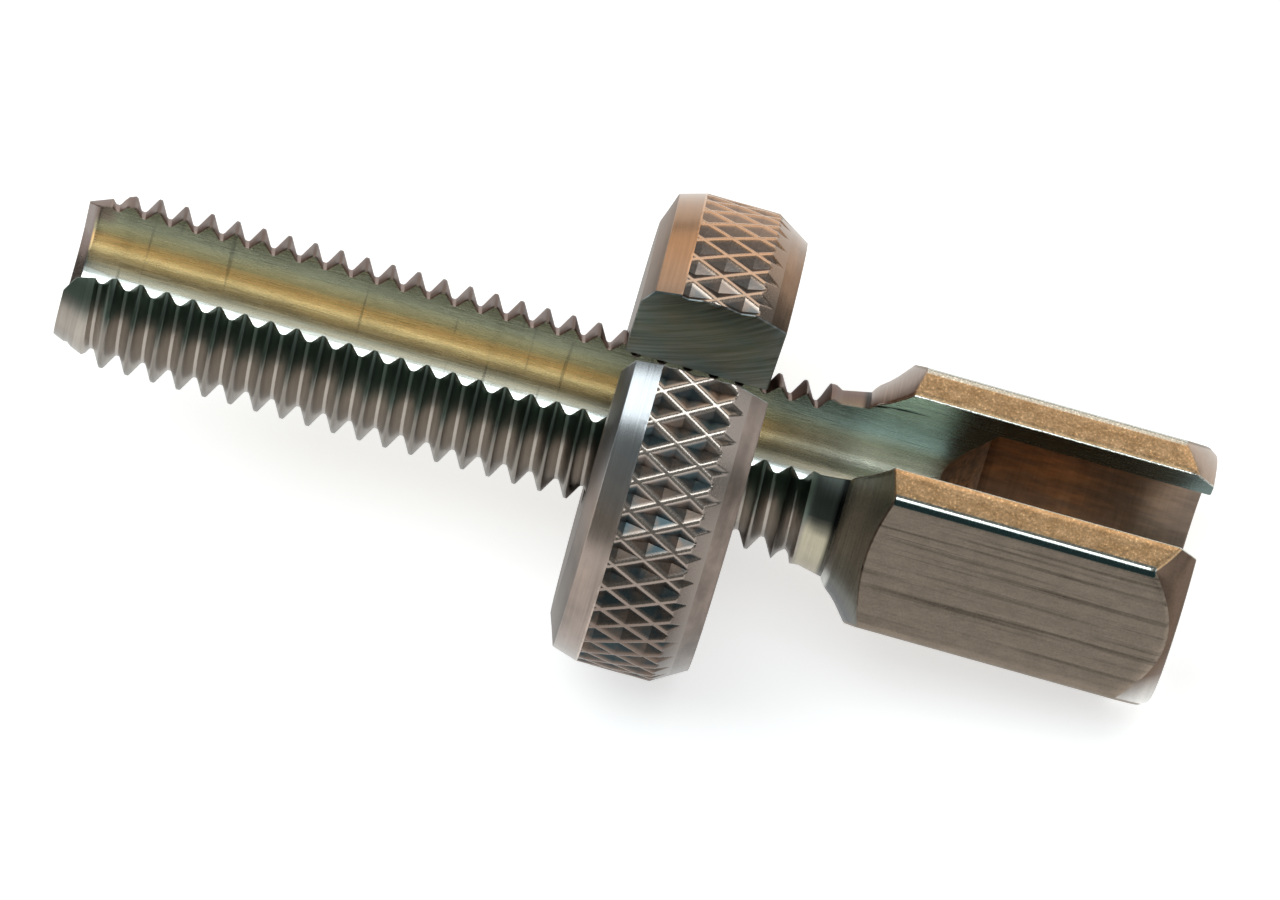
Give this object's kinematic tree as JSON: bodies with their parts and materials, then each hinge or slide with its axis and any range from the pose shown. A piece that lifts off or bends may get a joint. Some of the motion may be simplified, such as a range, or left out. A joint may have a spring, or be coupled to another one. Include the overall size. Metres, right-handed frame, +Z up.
{
  "type": "cable adjusting screw",
  "caption": "Slotted adjusting screw for a control cable: threaded shank, hexagon head with a seat for the casing, and a slotted knurled lock nut.",
  "frame": {"origin": "centre of the bounding box, on the surface that the screw lies on", "axes": "+X from the tip towards the head, along the surface; +Z up; the slot faces up. The screw's own axis lies in the XZ plane and slopes down from tip to head by about 13 degrees, because the nut is wider than the head."},
  "size_m": [0.0654, 0.0272, 0.0274],
  "materials": {
    "screw_steel": "bare turned and milled steel, fine lengthwise drawing lines on the hexagon, warm grey",
    "nut_steel": "bare turned steel, fine turning rings on the faces, bright knurl ridges over darker pits"
  },
  "bodies": {
    "screw": {"screw_body": "screw_steel"},
    "nut": {"lock_nut": "nut_steel"}
  },
  "joints": [
    {"name": "nut_travel", "type": "slide", "parent": "screw", "child": "nut", "axis": [0.9749, 0, -0.2225], "range_m": [-0.03, 0.0015]}
  ]
}
